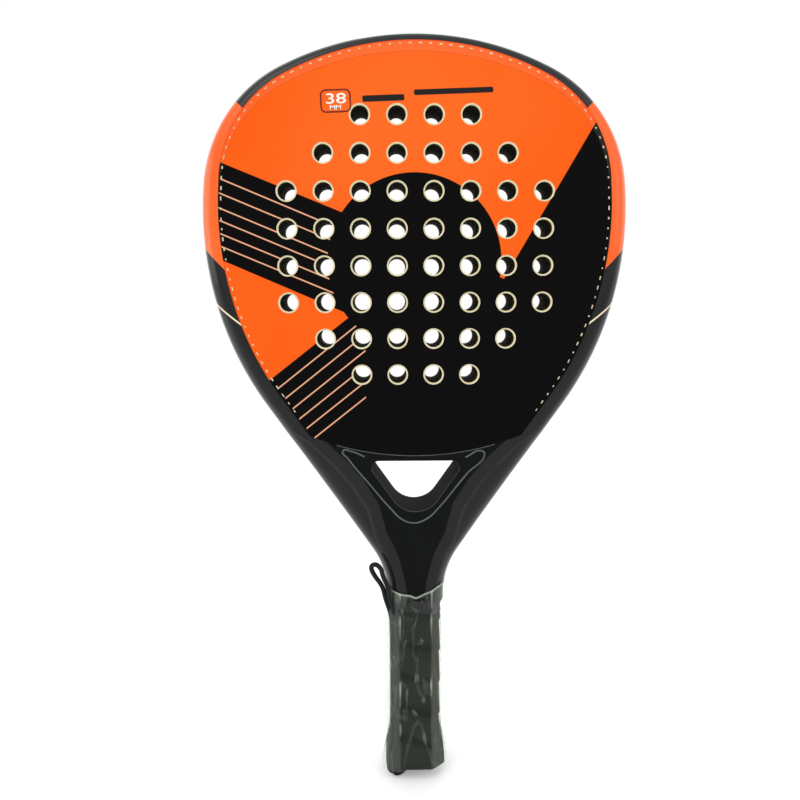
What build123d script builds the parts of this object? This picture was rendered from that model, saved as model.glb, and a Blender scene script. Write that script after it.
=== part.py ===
"""Padel racket, upright: +Z from the butt to the tip, +Y from the front face to the back face.

The origin is the middle of the hand grip, on the racket's long axis. All sizes are millimetres.
"""
from build123d import *
import os
from math import cos, pi, radians, sin, sqrt, tan

os.makedirs("parts", exist_ok=True)

# ---------------------------------------------------------------- overall sizes
overall_length = 455.0
head_width = 254.0
thickness = 38.0
grip_centre_height = 58.0  # from the butt end to the middle of the hand

butt_z = -grip_centre_height
tip_z = butt_z + overall_length

# ---------------------------------------------------------------- frame outline
# The outline runs from the tip down one side as tangent arcs, a straight leg and a hollow neck.
crown_radius = 181.0
crown_turn = 26.0
shoulder_turn = 58.0
cheek_radius = 196.0
leg_lean = 35.0  # degrees between the straight leg and the long axis
neck_radius = 53.0
neck_half_width = 18.0
tube_width = 12.5
tube_wall = 2.6
tube_crown = 2.0  # how far the middle of the tube's outer side stands out
tube_rounding = 8.5
bond_gap = 0.1  # glue line between the tube and what it surrounds

shoulder_end_turn = crown_turn + shoulder_turn
cheek_turn = 90.0 + leg_lean - shoulder_end_turn
crown_end_x = crown_radius * sin(radians(crown_turn))
cheek_crown_x = cheek_radius * (1.0 - sin(radians(shoulder_end_turn)))
shoulder_radius = (head_width / 2 - crown_end_x - cheek_crown_x) / (
    sin(radians(shoulder_end_turn)) - sin(radians(crown_turn))
)
cheek_end_x = (
    crown_end_x
    + shoulder_radius * (sin(radians(shoulder_end_turn)) - sin(radians(crown_turn)))
    + cheek_radius * (cos(radians(leg_lean)) - sin(radians(shoulder_end_turn)))
)
cheek_end_z = (
    tip_z
    - crown_radius * (1.0 - cos(radians(crown_turn)))
    - shoulder_radius * (cos(radians(crown_turn)) - cos(radians(shoulder_end_turn)))
    - cheek_radius * (cos(radians(shoulder_end_turn)) + sin(radians(leg_lean)))
)
neck_inset = neck_radius * (1.0 - cos(radians(leg_lean)))
leg_run = (cheek_end_x - neck_inset - neck_half_width) / sin(radians(leg_lean))
neck_end_z = cheek_end_z - leg_run * cos(radians(leg_lean)) - neck_radius * sin(radians(leg_lean))

# ---------------------------------------------------------------- hitting faces and holes
skin_thickness = 1.5
core_half = thickness / 2 - skin_thickness
hole_pitch = 21.5
hole_diameter = 10.4
hole_rim_diameter = 12.3
hole_rows = (4, 6, 8, 8, 8, 8, 6, 4)
hole_grid_below_tip = 122.5  # from the tip down to the middle of the hole pattern
hole_grid_z = tip_z - hole_grid_below_tip

# ---------------------------------------------------------------- throat
heart_leg_width = 30.6  # from the frame's outer side to the throat opening, across the leg
heart_below_cheek = 33.0
heart_corner_radius = 4.5
heart_bottom_radius = 16.5
bridge_height = 14.0
step_above_heart = 3.5
step_rise = 26.0  # how much the seam between face and throat climbs from the axis to the tubes
seam_gap = 0.2

heart_top_z = cheek_end_z - heart_below_cheek
heart_top_half = (
    cheek_end_x
    - heart_below_cheek * tan(radians(leg_lean))
    - heart_leg_width / cos(radians(leg_lean))
)
heart_apex_z = heart_top_z - heart_top_half / tan(radians(leg_lean))
bridge_top_z = heart_top_z + bridge_height
step_z = heart_top_z + step_above_heart

# ---------------------------------------------------------------- handle
grip_half_width = 15.4
grip_half_depth = 14.6
grip_corner = 6.2
tape_thickness = 1.6
tape_top_gap = 3.0
finishing_tape_height = 9.0
finishing_tape_thickness = 0.5
pallet_wall = 1.8
flare_growth = 3.4  # how far the butt stands out past the grip
flare_height = 24.0
flare_skirt = 8.0
cap_floor = 4.0
cap_wall = 0.6
cap_edge_radius = 1.2
knot_room = 14.0
fit_gap = 0.1
film_thickness = 0.3
film_gap = 2.8
film_shift = (-0.9, -0.6)  # the film stands off the grip where the cord lies under it
film_above_flare = 4.0
film_below_neck = 15.0

pallet_top_z = neck_end_z - fit_gap
pallet_bottom_z = butt_z + cap_floor + fit_gap
shank_growth = -tape_thickness - pallet_wall
shank_inner = neck_half_width - tube_width
shank_bottom_z = butt_z + cap_floor + knot_room
tape_top_z = neck_end_z - tape_top_gap
cap_growth = cap_wall + fit_gap - tape_thickness

# ---------------------------------------------------------------- wrist cord
# The cord leaves the butt, bends up along the front left facet, folds over at its loop beside
# the neck and comes back. Each point is X, Y and the height above the butt end.
cord_diameter = 3.0
strap_hole_diameter = 3.6
knot_diameter = 9.2
knot_height = 8.9
cord_heights = [
    (-5.0, -7.0, 9.0),
    (-5.2, -7.2, -2.5),
    (-9.8, -11.8, -4.9),
    (-14.6, -16.3, -2.4),
    (-14.9, -16.6, 8.5),
    (-12.7, -14.4, 21.0),
    (-12.3, -13.9, 36.0),
    (-12.5, -13.7, 62.0),
    (-12.2, -14.1, 86.0),
    (-12.4, -14.0, 103.0),
    (-16.4, -18.1, 116.0),
    (-17.2, -19.2, 124.5),
    (-20.6, -19.2, 131.5),
    (-21.4, -19.2, 136.4),
    (-25.0, -18.4, 139.4),
    (-28.4, -17.0, 137.0),
    (-26.0, -16.6, 131.2),
    (-20.6, -16.4, 124.0),
    (-18.9, -15.4, 115.0),
    (-14.9, -11.4, 102.0),
    (-14.8, -11.5, 85.0),
    (-14.7, -11.5, 61.0),
    (-14.9, -11.4, 35.0),
    (-15.2, -11.9, 21.0),
    (-17.5, -14.0, 8.5),
    (-17.2, -13.8, -2.4),
    (-12.2, -8.7, -5.0),
    (-7.5, -3.1, -2.5),
    (-7.3, -2.9, 9.0),
]


def half_outline(inset):
    """Draw one side of the frame's outline, moved inwards by inset, from the axis to the neck."""
    crown = JernArc((0, tip_z - inset), (1, 0), crown_radius - inset, -crown_turn)
    shoulder = JernArc(crown @ 1, crown % 1, shoulder_radius - inset, -shoulder_turn)
    cheek = JernArc(shoulder @ 1, shoulder % 1, cheek_radius - inset, -cheek_turn)
    leg = Line(cheek @ 1, cheek @ 1 + (cheek % 1) * leg_run)
    return JernArc(leg @ 1, leg % 1, neck_radius + inset, leg_lean)


def inner_area():
    """Fill the area that the frame tube surrounds, in an XZ sketch."""
    with BuildLine() as edge:
        neck = half_outline(tube_width + bond_gap)
        Line(neck @ 1, (0, neck_end_z))
        mirror(about=Plane.YZ)
    make_face(edge.edges())


def strip(low_z, high_z, mode):
    """Add, cut or keep a level band of the XZ sketch from low_z to high_z."""
    with Locations((0, (low_z + high_z) / 2)):
        Rectangle(2 * head_width, high_z - low_z, mode=mode)


def heart_shape(mode):
    """Draw the rounded triangle of the throat opening."""
    with BuildLine() as edge:
        FilletPolyline(
            (-heart_top_half, heart_top_z),
            (heart_top_half, heart_top_z),
            (0, heart_apex_z),
            radius=(heart_corner_radius, heart_corner_radius, heart_bottom_radius),
            close=True,
        )
    make_face(edge.edges(), mode=mode)


def below_step(gap, mode):
    """Draw everything below the curved seam between the hitting face and the throat plate."""
    half = cheek_end_x
    with BuildLine() as edge:
        ThreePointArc(
            (-half, step_z + step_rise - gap), (0, step_z - gap), (half, step_z + step_rise - gap)
        )
        Polyline(
            (half, step_z + step_rise - gap),
            (half, butt_z),
            (-half, butt_z),
            (-half, step_z + step_rise - gap),
        )
    make_face(edge.edges(), mode=mode)


def hole_spots():
    """Give the centre of every hole, row by row, as X and Z."""
    middle_row = (len(hole_rows) - 1) / 2
    return [
        ((column - (count - 1) / 2) * hole_pitch, hole_grid_z + (middle_row - row) * hole_pitch)
        for row, count in enumerate(hole_rows)
        for column in range(count)
    ]


def octagon(growth, mode=Mode.ADD):
    """Draw the grip's eight-sided outline, moved outwards by growth."""
    width = grip_half_width + growth
    depth = grip_half_depth + growth
    corner = grip_corner + growth * (2.0 - sqrt(2.0))
    Polygon(
        (width, depth - corner),
        (width - corner, depth),
        (corner - width, depth),
        (-width, depth - corner),
        (-width, corner - depth),
        (corner - width, -depth),
        (width - corner, -depth),
        (width, corner - depth),
        align=None,
        mode=mode,
    )


def flared_shell(growth, low_z, mode=Mode.ADD):
    """Add a solid that follows the butt's flare, growth larger than the taped grip."""
    with BuildSketch(Plane.XY.offset(low_z)) as low:
        octagon(growth + flare_growth)
    with BuildSketch(Plane.XY.offset(butt_z + flare_skirt)) as skirt:
        octagon(growth + flare_growth)
    with BuildSketch(Plane.XY.offset(butt_z + flare_height)) as top:
        octagon(growth)
    loft([low.sketch, skirt.sketch, top.sketch], ruled=True, mode=mode)


def write(part, name):
    """Label a finished piece and write its file."""
    part.label = name
    export_step(part, "parts/" + name + ".step")
    print(name, "solids", len(part.solids()), "volume", round(part.volume))


# ================================================================ frame
with BuildPart() as frame_tube:
    with BuildLine(Plane.XZ) as tube_path:
        half_outline(0.0)
    with BuildSketch(Plane(origin=(0, 0, tip_z), x_dir=(0, 1, 0), z_dir=(1, 0, 0))) as tube_section:
        half = thickness / 2
        with BuildLine():
            ThreePointArc((-half, -tube_crown), (0, 0), (half, -tube_crown))
            Polyline((half, -tube_crown), (half, -tube_width), (-half, -tube_width), (-half, -tube_crown))
        make_face()
        fillet(tube_section.vertices().group_by(Axis.Y)[-1], tube_rounding)
        offset(amount=-tube_wall, kind=Kind.INTERSECTION, mode=Mode.SUBTRACT)
    sweep(path=tube_path.line)
    with BuildSketch(Plane.XY.offset(shank_bottom_z)):
        octagon(shank_growth)
        with Locations((shank_inner - head_width / 2, 0)):
            Rectangle(head_width, head_width, mode=Mode.SUBTRACT)
    extrude(amount=neck_end_z + tube_wall - shank_bottom_z)
    mirror(about=Plane.YZ)
write(frame_tube.part, "frame_tube")

with BuildPart() as face_core:
    with BuildSketch(Plane.XZ):
        inner_area()
        strip(butt_z, bridge_top_z, Mode.SUBTRACT)
        with Locations(*hole_spots()):
            Circle(hole_diameter / 2, mode=Mode.SUBTRACT)
    extrude(amount=core_half, both=True)
write(face_core.part, "face_core")


def face_skin(side, name):
    """Make one hitting face; side is -1 for the front and 1 for the back."""
    with BuildPart() as skin:
        with BuildSketch(Plane.XZ.offset(-side * core_half)):
            inner_area()
            below_step(0.0, Mode.SUBTRACT)
            with Locations(*hole_spots()):
                Circle(hole_diameter / 2, mode=Mode.SUBTRACT)
        extrude(amount=-side * skin_thickness)
        outer_face = skin.faces().sort_by(Axis.Y)[0 if side < 0 else -1]
        rims = [wire.edges()[0] for wire in outer_face.inner_wires()]
        chamfer(rims, (hole_rim_diameter - hole_diameter) / 2)
    write(skin.part, name)


face_skin(-1, "front_face")
face_skin(1, "back_face")

# ================================================================ throat
with BuildPart() as throat_bridge:
    with BuildSketch(Plane.XZ):
        inner_area()
        strip(heart_top_z, bridge_top_z - bond_gap, Mode.INTERSECT)
    extrude(amount=core_half, both=True)
write(throat_bridge.part, "throat_bridge")

with BuildPart() as throat_core:
    with BuildSketch(Plane.XZ):
        inner_area()
        strip(butt_z, heart_top_z - bond_gap, Mode.INTERSECT)
        heart_shape(Mode.SUBTRACT)
    extrude(amount=core_half, both=True)
write(throat_core.part, "throat_core")


def throat_plate(side, name):
    """Make the skin over the throat; side is -1 for the front and 1 for the back."""
    with BuildPart() as plate:
        with BuildSketch(Plane.XZ.offset(-side * core_half)):
            inner_area()
            below_step(seam_gap, Mode.INTERSECT)
            heart_shape(Mode.SUBTRACT)
        extrude(amount=-side * skin_thickness)
    write(plate.part, name)


throat_plate(-1, "throat_plate_front")
throat_plate(1, "throat_plate_back")

# ================================================================ handle
with BuildPart() as handle_core:
    with BuildSketch(Plane.XY.offset(shank_bottom_z)):
        octagon(shank_growth)
        Rectangle(2 * (shank_inner - bond_gap), head_width, mode=Mode.INTERSECT)
    extrude(amount=neck_end_z - shank_bottom_z)
write(handle_core.part, "handle_core")


def handle_pallet(side, name):
    """Make half of the eight-sided handle shell; side is -1 for the front and 1 for the back."""
    with BuildPart() as pallet:
        with BuildSketch(Plane.XY.offset(pallet_bottom_z)):
            octagon(-tape_thickness)
            octagon(shank_growth + fit_gap, Mode.SUBTRACT)
            with Locations((0, -side * (head_width / 2 - fit_gap))):
                Rectangle(head_width, head_width, mode=Mode.SUBTRACT)
        extrude(amount=pallet_top_z - pallet_bottom_z)
    write(pallet.part, name)


handle_pallet(-1, "handle_pallet_front")
handle_pallet(1, "handle_pallet_back")

with BuildPart() as butt_cap:
    flared_shell(cap_growth, butt_z)
    fillet(butt_cap.faces().sort_by(Axis.Z)[0].outer_wire().edges(), cap_edge_radius)
    with BuildSketch(Plane.XY.offset(butt_z + cap_floor)):
        octagon(fit_gap - tape_thickness)
    extrude(amount=flare_height, mode=Mode.SUBTRACT)
    with BuildSketch(Plane.XY.offset(butt_z)):
        with Locations(cord_heights[0][:2], cord_heights[-1][:2]):
            Circle(strap_hole_diameter / 2)
    extrude(amount=cap_floor, mode=Mode.SUBTRACT)
write(butt_cap.part, "butt_cap")

with BuildPart() as base_grip:
    flared_shell(0.0, butt_z + cap_edge_radius)
    flared_shell(cap_growth + fit_gap, butt_z + cap_edge_radius, Mode.SUBTRACT)
    with BuildSketch(Plane.XY.offset(butt_z + flare_height)):
        octagon(0.0)
        octagon(fit_gap - tape_thickness, Mode.SUBTRACT)
    extrude(amount=tape_top_z - butt_z - flare_height)
write(base_grip.part, "base_grip")

with BuildPart() as finishing_tape:
    with BuildSketch(Plane.XY.offset(tape_top_z - finishing_tape_height)):
        octagon(fit_gap + finishing_tape_thickness)
        octagon(fit_gap, Mode.SUBTRACT)
    extrude(amount=finishing_tape_height)
write(finishing_tape.part, "finishing_tape")

# ================================================================ film and wrist cord
film_top_z = neck_end_z - film_below_neck
film_bottom_z = butt_z + flare_height + film_above_flare
with BuildPart() as film_sleeve:
    with BuildSketch(Plane(origin=(*film_shift, film_bottom_z))):
        octagon(film_gap + film_thickness)
        octagon(film_gap, Mode.SUBTRACT)
    extrude(amount=film_top_z - film_bottom_z)
write(film_sleeve.part, "film_sleeve")

cord_route = [Vector(x, y, butt_z + height) for x, y, height in cord_heights]
cord_runs = [b - a for a, b in zip(cord_route, cord_route[1:])]
cord_radii = [
    0.45 * min(a.length, b.length) / tan(radians(a.get_angle(b)) / 2)
    for a, b in zip(cord_runs, cord_runs[1:])
]
print("cord radii", [round(radius, 1) for radius in cord_radii])

with BuildPart() as wrist_strap:
    with BuildLine() as cord_path:
        FilletPolyline(*cord_route, radius=cord_radii)
    with BuildSketch(Plane(origin=cord_route[0], z_dir=cord_runs[0])):
        Circle(cord_diameter / 2)
    sweep(path=cord_path.wire())
cord_length = sum(edge.length for edge in cord_path.edges())
cord_volume = cord_length * pi * (cord_diameter / 2) ** 2
print("cord length", round(cord_length, 1), "volume for that length", round(cord_volume))
write(wrist_strap.part, "wrist_strap")

with BuildPart() as strap_knot:
    knot_centre = (cord_route[0] + cord_route[-1]) / 2
    with Locations((knot_centre.X, knot_centre.Y, butt_z + knot_height)):
        Sphere(knot_diameter / 2)
write(strap_knot.part, "strap_knot")
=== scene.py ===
"""Looks of a padel racket: lacquered frame, printed faces, taped handle, wrist cord and clear film.

The racket stands upright on its butt end: +Z to the tip, -Y out of the front face. Lengths in the
classes are millimetres in the racket's frame, and meshes are made in metres.
"""
import logging
import math
from dataclasses import dataclass
from enum import Enum
from typing import Callable, Iterable, Optional, Union

import bmesh
import bpy
from mathutils import Matrix, Vector, noise


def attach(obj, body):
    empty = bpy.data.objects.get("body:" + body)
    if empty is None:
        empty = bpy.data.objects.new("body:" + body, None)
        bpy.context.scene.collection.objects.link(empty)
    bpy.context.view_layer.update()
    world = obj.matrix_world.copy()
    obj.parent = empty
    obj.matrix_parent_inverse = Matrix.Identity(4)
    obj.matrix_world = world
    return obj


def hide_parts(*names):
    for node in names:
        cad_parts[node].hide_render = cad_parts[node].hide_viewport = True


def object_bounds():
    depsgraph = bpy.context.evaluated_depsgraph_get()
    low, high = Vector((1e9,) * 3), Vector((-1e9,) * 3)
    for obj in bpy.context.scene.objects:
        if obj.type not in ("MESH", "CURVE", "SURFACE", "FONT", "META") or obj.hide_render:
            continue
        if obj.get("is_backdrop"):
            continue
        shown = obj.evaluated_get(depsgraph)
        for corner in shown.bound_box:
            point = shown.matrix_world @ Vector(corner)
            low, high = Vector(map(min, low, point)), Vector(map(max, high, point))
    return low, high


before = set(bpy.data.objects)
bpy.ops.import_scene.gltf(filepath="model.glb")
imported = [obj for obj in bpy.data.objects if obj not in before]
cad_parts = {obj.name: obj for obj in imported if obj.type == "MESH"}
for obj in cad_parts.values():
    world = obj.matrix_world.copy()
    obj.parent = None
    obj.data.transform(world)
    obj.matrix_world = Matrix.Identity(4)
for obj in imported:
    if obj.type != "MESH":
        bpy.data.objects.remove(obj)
CAD_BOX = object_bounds()
LOG = logging.getLogger("racket")
MM = 0.001
BODY = "root"


# ============================================================================ shader maths
Number = Union[float, int]
Colour = tuple[float, float, float]
Triple = tuple[float, float, float]
Point = tuple[float, float]
Line = tuple[Point, Point]


class Value:
    """A shader socket that takes part in Python expressions."""

    def __init__(self, shader: "Shader", socket: bpy.types.NodeSocket) -> None:
        """Wrap a socket of a shader's tree."""
        self.shader = shader
        self.socket = socket

    def _math(self, operation: str, *others: "Operand") -> "Value":
        """Add one Math node and return its result."""
        return self.shader.math(operation, self, *others)

    def __add__(self, other: "Operand") -> "Value":
        """Return self + other."""
        return self._math("ADD", other)

    def __sub__(self, other: "Operand") -> "Value":
        """Return self - other."""
        return self._math("SUBTRACT", other)

    def __mul__(self, other: "Operand") -> "Value":
        """Return self * other."""
        return self._math("MULTIPLY", other)

    def __truediv__(self, other: "Operand") -> "Value":
        """Return self / other."""
        return self._math("DIVIDE", other)

    def __rsub__(self, other: Number) -> "Value":
        """Return other - self."""
        return self.shader.math("SUBTRACT", other, self)

    def __abs__(self) -> "Value":
        """Return the size of self without its sign."""
        return self._math("ABSOLUTE")

    __radd__ = __add__
    __rmul__ = __mul__

    def least(self, other: "Operand") -> "Value":
        """Return the smaller of self and other."""
        return self._math("MINIMUM", other)

    def most(self, other: "Operand") -> "Value":
        """Return the larger of self and other."""
        return self._math("MAXIMUM", other)

    def above(self, limit: "Operand", soft: float) -> "Value":
        """Return a mask that rises from 0 to 1 over soft where self passes limit."""
        return ((self - limit) / soft + 0.5).clamped()

    def below(self, limit: "Operand", soft: float) -> "Value":
        """Return a mask that is 1 where self is under limit."""
        return 1.0 - self.above(limit, soft)

    def clamped(self) -> "Value":
        """Return self held between 0 and 1."""
        return self.most(0.0).least(1.0)


Operand = Union[Value, Number]


class Shader:
    """Builds one material's node tree."""

    def __init__(self, name: str) -> None:
        """Start an empty material called name."""
        self.material = bpy.data.materials.new(name)
        self.material.use_nodes = True
        self.tree = self.material.node_tree
        self.tree.nodes.clear()
        self.output = self.tree.nodes.new("ShaderNodeOutputMaterial")
        self.place = self.node("ShaderNodeTexCoord", {}, {}, "Object")

    def node(self, kind: str, settings: dict, inputs: dict, output: Union[str, int] = 0) -> Value:
        """Add one node.

        Args:
            kind: The node's type.
            settings: Properties that are set first.
            inputs: Values or links by socket name or number.
            output: The output socket to return.

        Returns:
            The chosen output as a Value.
        """
        made = self.tree.nodes.new(kind)
        for key, setting in settings.items():
            setattr(made, key, setting)
        for key, given in inputs.items():
            socket = made.inputs[key]
            if isinstance(given, Value):
                self.tree.links.new(given.socket, socket)
            else:
                socket.default_value = given
        return Value(self, made.outputs[output])

    def math(self, operation: str, *operands: Operand) -> Value:
        """Add a Math node for an operation on numbers or sockets."""
        return self.node("ShaderNodeMath", {"operation": operation}, dict(enumerate(operands)))

    def part(self, vector: Value, axis: str) -> Value:
        """Return the X, Y or Z of a vector."""
        return self.node("ShaderNodeSeparateXYZ", {}, {0: vector}, axis)

    def place_along(self, axis: str) -> Value:
        """Return the object-space X, Y or Z in millimetres."""
        return self.part(self.place, axis) / MM

    def attribute(self, name: str) -> Value:
        """Return a number stored on the mesh's vertices."""
        return self.node("ShaderNodeAttribute", {"attribute_name": name}, {}, "Fac")

    def noise(
        self, scale: float, detail: float = 3.0, stretch: Optional[Triple] = None
    ) -> Value:
        """Return noise on object coordinates.

        Args:
            scale: Patches per metre.
            detail: Levels of finer noise.
            stretch: Factors on X, Y and Z, or None for even noise.

        Returns:
            A value from 0 to 1.
        """
        vector = self.place
        if stretch:
            vector = self.node("ShaderNodeMapping", {}, {"Vector": self.place, "Scale": stretch})
        return self.node(
            "ShaderNodeTexNoise", {}, {"Vector": vector, "Scale": scale, "Detail": detail}, "Fac"
        )

    def mix(self, mask: Operand, low: Union[Value, Colour], high: Union[Value, Colour]) -> Value:
        """Return a colour between two others.

        Args:
            mask: 0 for low, 1 for high.
            low: A colour or a colour socket.
            high: A colour or a colour socket.

        Returns:
            The mixed colour.
        """
        colours = [c if isinstance(c, Value) else (*c, 1.0) for c in (low, high)]
        return self.node(
            "ShaderNodeMix",
            {"data_type": "RGBA", "clamp_factor": True},
            {0: mask, 6: colours[0], 7: colours[1]},
            2,
        )

    def bump(self, height: Value, strength: float, distance: float) -> Value:
        """Return a normal bumped by a height value."""
        return self.node(
            "ShaderNodeBump", {}, {"Height": height, "Strength": strength, "Distance": distance}
        )

    def finish(
        self, colour: Union[Value, Colour], **sockets: Union[Value, Number, tuple]
    ) -> bpy.types.Material:
        """End the tree in a Principled surface.

        Args:
            colour: The base colour.
            sockets: Other Principled inputs, with underscores for spaces.

        Returns:
            The finished material.
        """
        inputs = {"Base Color": colour if isinstance(colour, Value) else (*colour, 1.0)}
        inputs.update({key.replace("_", " "): given for key, given in sockets.items()})
        surface = self.node("ShaderNodeBsdfPrincipled", {}, inputs)
        self.tree.links.new(surface.socket, self.output.inputs["Surface"])
        return self.material


def srgb(red: int, green: int, blue: int) -> Colour:
    """Return the linear colour of three 0-255 display values."""
    return tuple(
        part / 12.92 if part <= 0.04045 else ((part + 0.055) / 1.055) ** 2.4
        for part in (red / 255, green / 255, blue / 255)
    )


ORANGE = srgb(246, 90, 8)
ORANGE_LIGHT = srgb(251, 106, 36)
INK = srgb(5, 5, 5)
CREAM = srgb(252, 232, 196)
SALMON = srgb(244, 176, 140)
LACQUER_BLACK = srgb(10, 13, 12)
WHITE = (1.0, 1.0, 1.0, 1.0)


# ============================================================================ print on the faces
def beyond(x: Value, z: Value, line: Line) -> Value:
    """Return the signed distance from a line in X and Z.

    Args:
        x: The place's X.
        z: The place's Z.
        line: Two points on the line.

    Returns:
        The distance in millimetres, positive above the line.
    """
    (ax, az), (bx, bz) = line
    run = math.hypot(bx - ax, bz - az) * (1 if bx > ax else -1)
    return (z - az) * ((bx - ax) / run) - (x - ax) * ((bz - az) / run)


@dataclass(frozen=True)
class FacePrint:
    """The two-colour print under the face's lacquer, in X and Z, with a painted highlight that
    lightens the orange in a soft disc high on the face.
    """

    disc_centre: Point = (-0.6, 266.0)
    disc_radius: float = 51.3
    band_top: Line = ((-113.0, 323.1), (51.1, 256.4))
    band_low: Line = ((-114.0, 267.3), (-42.5, 236.6))
    wedge_low: Line = ((-40.2, 233.2), (-85.1, 198.2))
    right_edge: Line = ((103.4, 343.7), (58.6, 266.8))
    upper_line_starts: tuple[Point, ...] = (
        (-113.3, 313.8), (-114.5, 305.9), (-115.3, 297.6), (-114.6, 290.2), (-114.3, 282.6),
        (-114.0, 275.2),
    )
    upper_line_slope: float = -0.417
    lower_line_starts: tuple[Point, ...] = (
        (-82.3, 191.5), (-78.4, 185.2), (-74.1, 178.9), (-70.3, 172.6), (-66.0, 166.8),
        (-61.4, 160.9),
    )
    lower_line_slope: float = 0.79
    line_half_width: float = 0.36
    left_limit: float = -30.0
    # Centre height, radius and fade of the painted highlight on the orange.
    painted_highlight_z: float = 330.0
    painted_highlight_radius: float = 75.0
    painted_highlight_fade: float = 90.0
    soft: float = 0.25

    def stripes(self, x: Value, z: Value, starts: Iterable[Point], slope: float) -> Value:
        """Return a mask of thin parallel lines that run right from their starts.

        Args:
            x: The place's X.
            z: The place's Z.
            starts: Where the lines start.
            slope: Rise of the lines in Z over X.

        Returns:
            1 on a line, else 0.
        """
        lines: Optional[Value] = None
        for start_x, start_z in starts:
            far = (start_x + 100.0, start_z + 100.0 * slope)
            gap = abs(beyond(x, z, ((start_x, start_z), far)))
            line = gap.below(self.line_half_width, self.soft) * x.above(start_x, self.soft)
            lines = line if lines is None else lines.most(line)
        return lines

    def colour(self, shader: Shader, x: Value, z: Value) -> Value:
        """Return the print's colour, its painted highlight included.

        Args:
            shader: The material that takes the print.
            x: The place's X.
            z: The place's Z.

        Returns:
            The colour at that place.
        """
        soft = self.soft
        over_band = beyond(x, z, self.band_top).above(0.0, soft)
        left_of_edge = beyond(x, z, self.right_edge).above(0.0, soft)
        under_band = beyond(x, z, self.band_low).below(0.0, soft)
        over_wedge = beyond(x, z, self.wedge_low).above(0.0, soft)
        left = x.below(self.left_limit, soft)
        far_x, far_z = x - self.disc_centre[0], z - self.disc_centre[1]
        off_disc = (far_x * far_x + far_z * far_z).above(
            self.disc_radius**2, 2 * soft * self.disc_radius
        )
        top = over_band * left_of_edge
        wedge = under_band * over_wedge * left
        orange = top.most(wedge) * off_disc
        mottle = shader.noise(14.0, 2.0).above(0.5, 0.5)
        # Painted highlight: the orange is lighter in a soft disc round the centre height, on top of
        # the random mottle.
        up = z - self.painted_highlight_z
        middle = (far_x * far_x + up * up).below(self.painted_highlight_radius**2, self.painted_highlight_fade**2)
        orange_with_painted_highlight = shader.mix((mottle * 0.5 + middle * 0.6).clamped(), ORANGE, ORANGE_LIGHT)
        upper = self.stripes(x, z, self.upper_line_starts, self.upper_line_slope)
        lower = self.stripes(x, z, self.lower_line_starts, self.lower_line_slope)
        lines = upper.most(lower) * off_disc * left
        return shader.mix(orange, shader.mix(lines, INK, SALMON), orange_with_painted_highlight)


@dataclass(frozen=True)
class FaceFinish:
    """Printed and lacquered hitting face with cut edges at the holes."""

    artwork: FacePrint = FacePrint()

    def material(self) -> bpy.types.Material:
        """Return the face's material."""
        shader = Shader("face_print")
        x, z = shader.place_along("X"), shader.place_along("Z")
        printed = self.artwork.colour(shader, x, z)
        normal = shader.node("ShaderNodeNewGeometry", {}, {}, "True Normal")
        cut = abs(shader.part(normal, "Y")).below(0.9, 0.1)
        rim = shader.mix(shader.noise(400.0), srgb(214, 205, 160), srgb(250, 240, 205))
        colour = shader.mix(cut, printed, rim)
        grain = shader.noise(900.0, 4.0)
        rough = 0.34 + shader.noise(60.0) * 0.10
        return shader.finish(
            colour, Roughness=rough, Normal=shader.bump(grain, 0.12, 0.0002),
            Specular_IOR_Level=0.05,
        )


@dataclass(frozen=True)
class FrameFinish:
    """Lacquer of the frame: dark tip, orange sides, black legs, and print on the inner land, with a
    painted reflection that greys the black towards the tip and a painted highlight streak along the
    rim's middle.
    """

    artwork: FacePrint = FacePrint()
    orange_top: Line = ((103.5, 357.5), (98.0, 352.0))
    orange_low: Line = ((124.5, 274.0), (114.0, 263.3))
    cream_line: Line = ((119.0, 241.3), (107.7, 232.6))
    cream_half_width: float = 0.45
    # How far in from the silhouette the painted highlight streak runs.
    painted_highlight_inset: float = 7.6
    # Where the painted reflection starts to grey the black lacquer, and over how far it fades in.
    tip_z: float = 320.0
    painted_reflection_fade: float = 60.0

    def material(self) -> bpy.types.Material:
        """Return the frame's material."""
        shader = Shader("frame_lacquer")
        x, z = shader.place_along("X"), shader.place_along("Z")
        wide = abs(x)
        inward = shader.attribute("land")
        land = inward.above(0.0, 0.2)
        # Painted highlight: a lighter streak along the middle of the rounded rim, salmon on the
        # orange and grey on the black.
        painted_highlight_streak = abs(inward + self.painted_highlight_inset).below(0.9, 0.8)
        painted_highlight_streak = painted_highlight_streak * shader.noise(30.0).above(0.42, 0.2) * 0.22
        orange = beyond(wide, z, self.orange_top).below(0.0, 0.3)
        orange = orange * beyond(wide, z, self.orange_low).above(0.0, 0.3)
        cream = abs(beyond(wide, z, self.cream_line)).below(self.cream_half_width, 0.25)
        # Painted reflection: the black lacquer is painted greyer towards the tip.
        tip = z.above(self.tip_z, self.painted_reflection_fade)
        dark = shader.mix(tip, LACQUER_BLACK, srgb(34, 36, 36))
        paint = shader.mix(orange, dark, shader.mix(shader.noise(18.0), ORANGE, ORANGE_LIGHT))
        painted_highlight_colour = shader.mix(orange, srgb(66, 74, 70), srgb(254, 160, 112))
        paint = shader.mix(cream, shader.mix(painted_highlight_streak, paint, painted_highlight_colour), CREAM)
        colour = shader.mix(land, paint, self.artwork.colour(shader, x, z))
        rough = 0.17 + shader.noise(45.0) * 0.07
        return shader.finish(
            colour, Roughness=rough, Coat_Weight=0.22, Coat_Roughness=0.06, Specular_IOR_Level=0.2,
            Normal=shader.bump(shader.noise(160.0, 2.0), 0.05, 0.0004),
        )


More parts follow.
